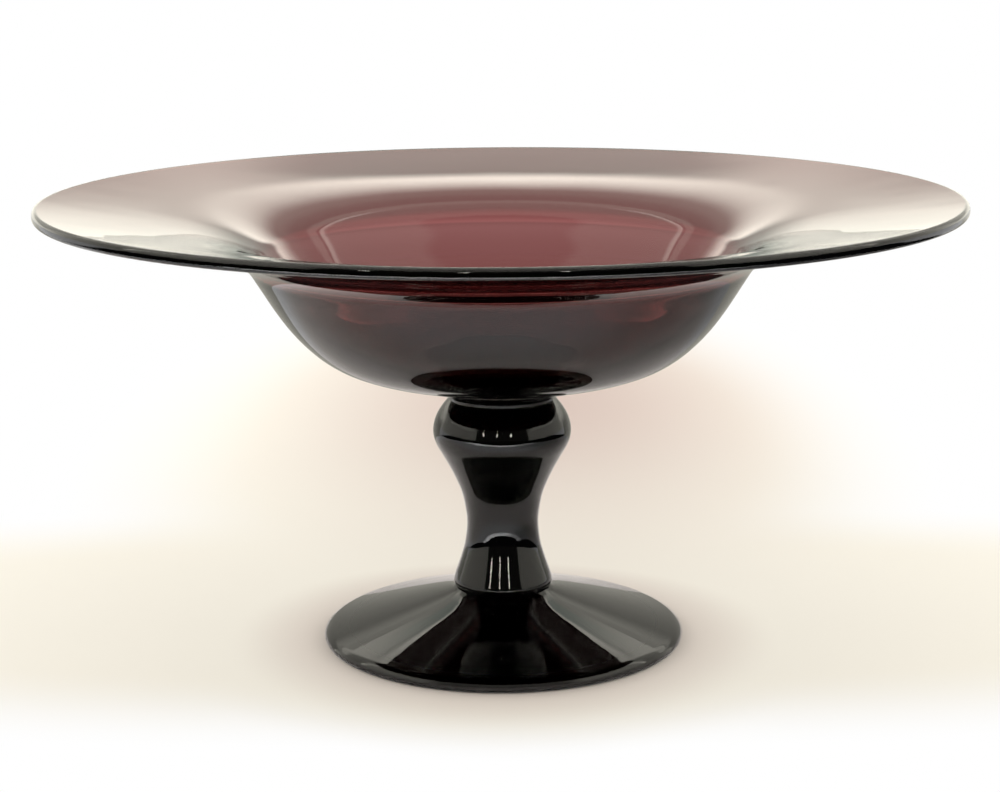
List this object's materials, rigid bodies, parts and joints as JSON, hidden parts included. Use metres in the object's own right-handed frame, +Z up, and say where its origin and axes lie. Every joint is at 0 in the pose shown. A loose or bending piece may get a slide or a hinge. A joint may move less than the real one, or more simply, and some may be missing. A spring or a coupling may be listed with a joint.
{
  "type": "footed compote bowl",
  "caption": "Footed compote in dark amethyst glass: a deep round well with a broad rising flange, on a baluster stem and a round foot.",
  "frame": {"origin": "centre of the foot's resting ring, on the table", "axes": "+Z up along the axis of stem and bowl; +X to the right and -Y towards the viewer; the part is round about Z"},
  "size_m": [0.305, 0.305, 0.1522],
  "materials": {
    "foot_glass": "clear dark amethyst glass, fire polished, nearly black in this thickness",
    "stem_glass": "clear dark amethyst glass, fire polished, nearly black in this thickness",
    "merese_glass": "clear dark amethyst glass, fire polished",
    "bowl_glass": "clear amethyst glass, fire polished, reddish purple where light passes"
  },
  "bodies": {
    "root": {"foot": "foot_glass", "stem": "stem_glass", "merese": "merese_glass", "bowl": "bowl_glass"}
  },
  "joints": []
}
